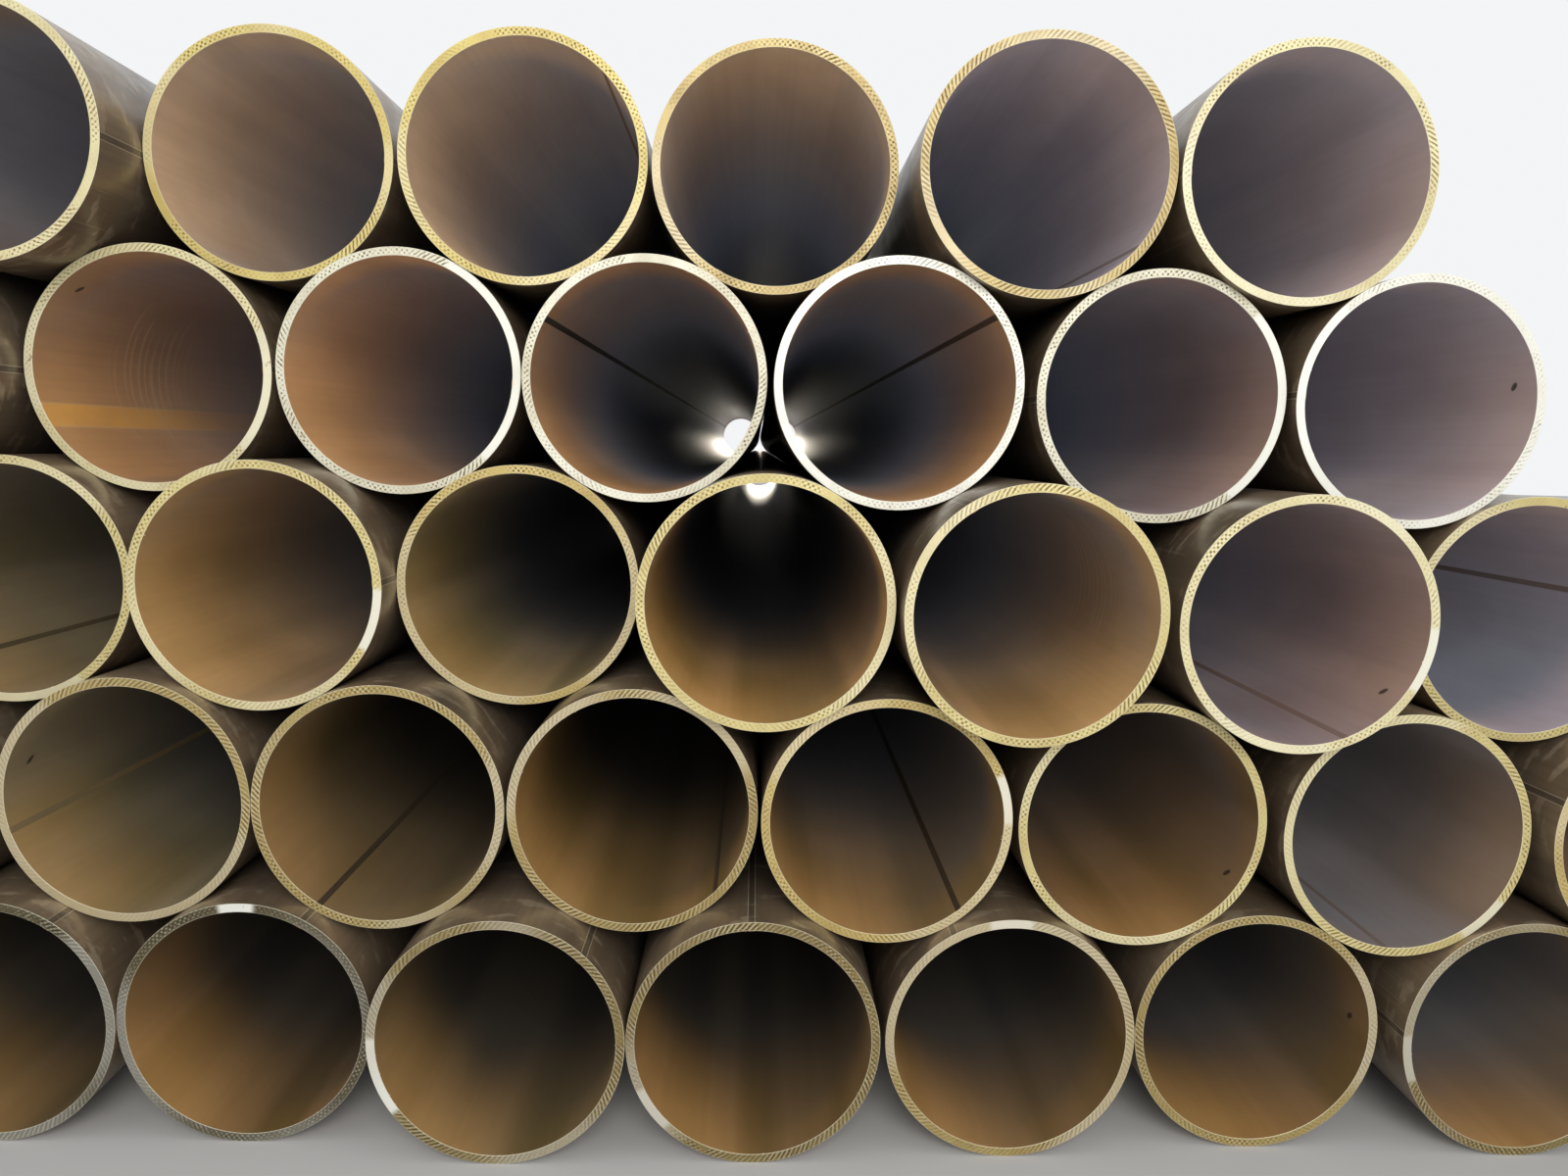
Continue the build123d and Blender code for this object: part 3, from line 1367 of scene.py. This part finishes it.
@dataclass
class Studio:
    """A pale floor, a pale surround and soft lamps: two before the stack and one behind it."""

    floor_half: float = 40.0
    floor_colour: Colour = (0.55, 0.54, 0.52, 1.0)
    light_colour: Colour = (0.88, 0.91, 0.95, 1.0)
    light_strength: float = 0.85
    seen_colour: Colour = (0.90, 0.91, 0.92, 1.0)
    lamps: tuple[Lamp, ...] = (
        Lamp("key", (0.7, -11.4, 3.7), (0.0, -6.0, 1.6), 3.0, 205.0, (1.0, 0.98, 0.96)),
        Lamp("fill", (0.3, -12.0, 1.3), (0.0, -6.0, 1.1), 2.4, 45.0, (1.0, 0.97, 0.93)),
        Lamp("far_side", (-0.2, 12.5, 2.9), (-0.2, 6.0, 2.6), 2.2, 170.0, (1.0, 0.90, 0.74), radians(56.0)),
    )

    def build(self) -> None:
        """Make the floor, the surround and the lamps."""
        self.floor()
        self.surround()
        for lamp in self.lamps:
            lamp.build()

    def floor(self) -> None:
        """Lay the floor."""
        half = self.floor_half
        mesh = bpy.data.meshes.new("floor")
        corners = [(-half, -half, 0.0), (half, -half, 0.0), (half, half, 0.0), (-half, half, 0.0)]
        mesh.from_pydata(corners, [], [(0, 1, 2, 3)])
        floor = bpy.data.objects.new("floor", mesh)
        bpy.context.scene.collection.objects.link(floor)
        material = bpy.data.materials.new("floor")
        material.use_nodes = True
        surface = material.node_tree.nodes["Principled BSDF"]
        surface.inputs["Base Color"].default_value = self.floor_colour
        surface.inputs["Roughness"].default_value = 0.8
        mesh.materials.append(material)

    def surround(self) -> None:
        """Light the scene softly from all round, and show a pale surround to the camera."""
        world = bpy.data.worlds.new("surround")
        world.use_nodes = True
        bench = ShaderBench(world.node_tree)
        path = bench.node("ShaderNodeLightPath")
        seen = Term(bench, path.outputs["Is Camera Ray"])
        for ray in ("Is Glossy Ray", "Is Transmission Ray"):
            seen = bench.math("MAXIMUM", seen, Term(bench, path.outputs[ray]))
        inputs = {"Color": self.light_colour, "Strength": self.light_strength}
        light = bench.term("ShaderNodeBackground", inputs=inputs)
        pale = bench.term("ShaderNodeBackground", inputs={"Color": self.seen_colour, "Strength": 1.0})
        mixed = bench.term("ShaderNodeMixShader", inputs={0: seen, 1: light, 2: pale})
        bench.node("ShaderNodeOutputWorld", inputs={0: mixed})
        bpy.context.scene.world = world


def pipe_looks() -> dict[str, list[Look]]:
    """Give every pipe its own look.

    Returns:
        Each row's looks, left to right, from the ground up.
    """
    f, b, g = FaceTint, BoreTint, Facing
    shallow, middling, deeper = ({"rust_before_shade": reach} for reach in (0.62, 1.1, 1.3))
    return {
        "ground_row": [
            Look(f.DULL, b.UMBER, g.SLANTED, **shallow),
            Look(f.DULL, b.UMBER, g.SLANTED, **shallow),
            Look(f.DULL, b.MURKY, g.SLANTED, 25, 10, 240, 0.0, **shallow),
            Look(f.DULL, b.UMBER, g.CROSSED, 92, 16, 210, 0.0, bright=0.9, **shallow),
            Look(f.OLIVE, b.DRAB, g.SLANTED, 197, 38, 220, 0.0, bright=0.9, **shallow),
            Look(f.OLIVE, b.UMBER, g.SLANTED, 215, 22, 220, 0.0, bright=0.6, **shallow),
            Look(f.TAN, b.UMBER, g.SLANTED, 92, 20, 215, 0.02, bright=0.7, **shallow),
            Look(f.TAN, b.UMBER, g.CROSSED, 170, 8, 250, 0.05, nick=(0, 0.069), **shallow),
            Look(f.OLIVE, b.UMBER, g.CROSSED, 190, 24, 250, 0.15, bright=0.4, **shallow),
            Look(f.OLIVE, b.BROWN, g.SLANTED, **shallow),
        ],
        "second_row": [
            Look(f.TAN, b.KHAKI, g.SLANTED),
            Look(f.TAN, b.KHAKI, g.SLANTED),
            Look(f.TAN, b.OLIVE, g.SLANTED, 250, 30, 225, 0.1, seam_dark=0.05, nick=(165, 0.07), **middling),
            Look(f.TAN, b.DRAB, g.CROSSED, 300, 16, 190, 0.0, seam_dark=0.8, **middling),
            Look(f.TAN, b.RUST_BROWN, g.SLANTED, 20, 12, 205, 0.0, seam_dark=0.9, **middling),
            Look(f.AMBER, b.RUST_BROWN, g.CROSSED, 12, 24, 225, 0.2, bright=0.7, seam_dark=0.9, **deeper),
            Look(f.STRAW, b.UMBER, g.DIMPLED, 200, 10, 270, 0.3, nick=(330, 0.053)),
            Look(f.STRAW, b.SLATE, g.SLANTED, 315, 24, 350, 0.7, bright=0.5, seam_dark=0.05),
            Look(f.AMBER, b.BROWN, g.CROSSED),
        ],
        "third_row": [
            Look(f.STRAW, b.BROWN, g.CROSSED, seam_dark=0.7),
            Look(f.STRAW, b.OLIVE, g.CROSSED, 280, 50, 230, 0.3, bright=0.3, seam_dark=0.6),
            Look(f.STRAW, b.AMBER, g.CROSSED, 345, 30, 205, 0.5, bright=0.7),
            Look(f.AMBER, b.KHAKI, g.DIMPLED, 100, 10, 225, 0.2, **deeper),
            Look(f.STRAW, b.RUSSET, g.CROSSED, 60, 12, 235, 0.2, rust_before_shade=1.5),
            Look(f.STRAW, b.AMBER, g.CROSSED, 150, 20, 285, 0.7, chatter=(15, 0.25, 0.7)),
            Look(f.CREAM, b.PLUM, g.CROSSED, 345, 30, 345, 1.0, bright=0.7, seam_dark=0.3, nick=(324, 0.058)),
            Look(f.STRAW, b.HAZED_PLUM, g.CROSSED, 90, 30, 100, 1.0, seam_dark=0.6),
        ],
        "fourth_row": [
            Look(f.SILVER, b.ORANGE, g.CROSSED),
            Look(
                f.CREAM, b.RUSTY, g.CROSSED, 350, 60, 215, 0.8, bright=0.3,
                stripe=(205, 13, 0.8), chatter=(180, 0.28, 1.0), nick=(136, 0.06),
            ),
            Look(f.SILVER, b.ORANGE, g.DIMPLED, 10, 110, 215, 0.9, bright=0.7),
            Look(f.SILVER, b.RUSTY, g.CROSSED, 85, 30, 235, 0.7, seam_dark=1.0, **deeper),
            Look(f.WHITE, b.RUSTY, g.DIMPLED, 175, 125, 305, 0.8, bright=0.7, seam_dark=0.9, rust_before_shade=1.4),
            Look(f.SILVER, b.PLUM, g.DIMPLED, 355, 95, 340, 1.0, bright=0.9),
            Look(f.WHITE, b.HAZED_PLUM, g.DIMPLED, 185, 105, 350, 1.0, bright=0.9, nick=(10, 0.063)),
        ],
        "top_row": [
            Look(f.CREAM, b.BROWN, g.CROSSED, 340, 30, 300, 1.0),
            Look(f.GOLD, b.HAZED_AMBER, g.CROSSED, 200, 30, 185, 1.0),
            Look(f.GOLD, b.HAZED_AMBER, g.CROSSED, 110, 14, 195, 1.0, seam_dark=0.7),
            Look(f.BRASS, b.HAZED_AMBER, g.CROSSED, 160, 16, 100, 1.0),
            Look(f.BRASS, b.HAZED_PLUM, g.SLANTED, 215, 20, 30, 1.0, seam_dark=0.5),
            Look(f.CREAM, b.HAZED_PLUM, g.CROSSED, 45, 20, 335, 0.9),
        ],
    }


def main() -> None:
    """Build the camera, the dressed stack and the studio, and report each piece."""
    logging.basicConfig(level=logging.INFO, format="%(name)s: %(message)s")
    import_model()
    view = Viewpoint(
        place=Vector((0.194, -8.039, 1.292)),
        focal_px=1150.6,
        turn_right=radians(1.491),
        look_down=radians(7.135),
        roll=radians(1.404),
    )
    view.build()
    for piece in PipeStack(pipe_looks()).build():
        LOG.info("%s: %d faces", piece.name, len(piece.data.polygons))
    Studio().build()
    bpy.context.scene.view_settings.view_transform = "Standard"


if __name__ == "__main__":
    main()
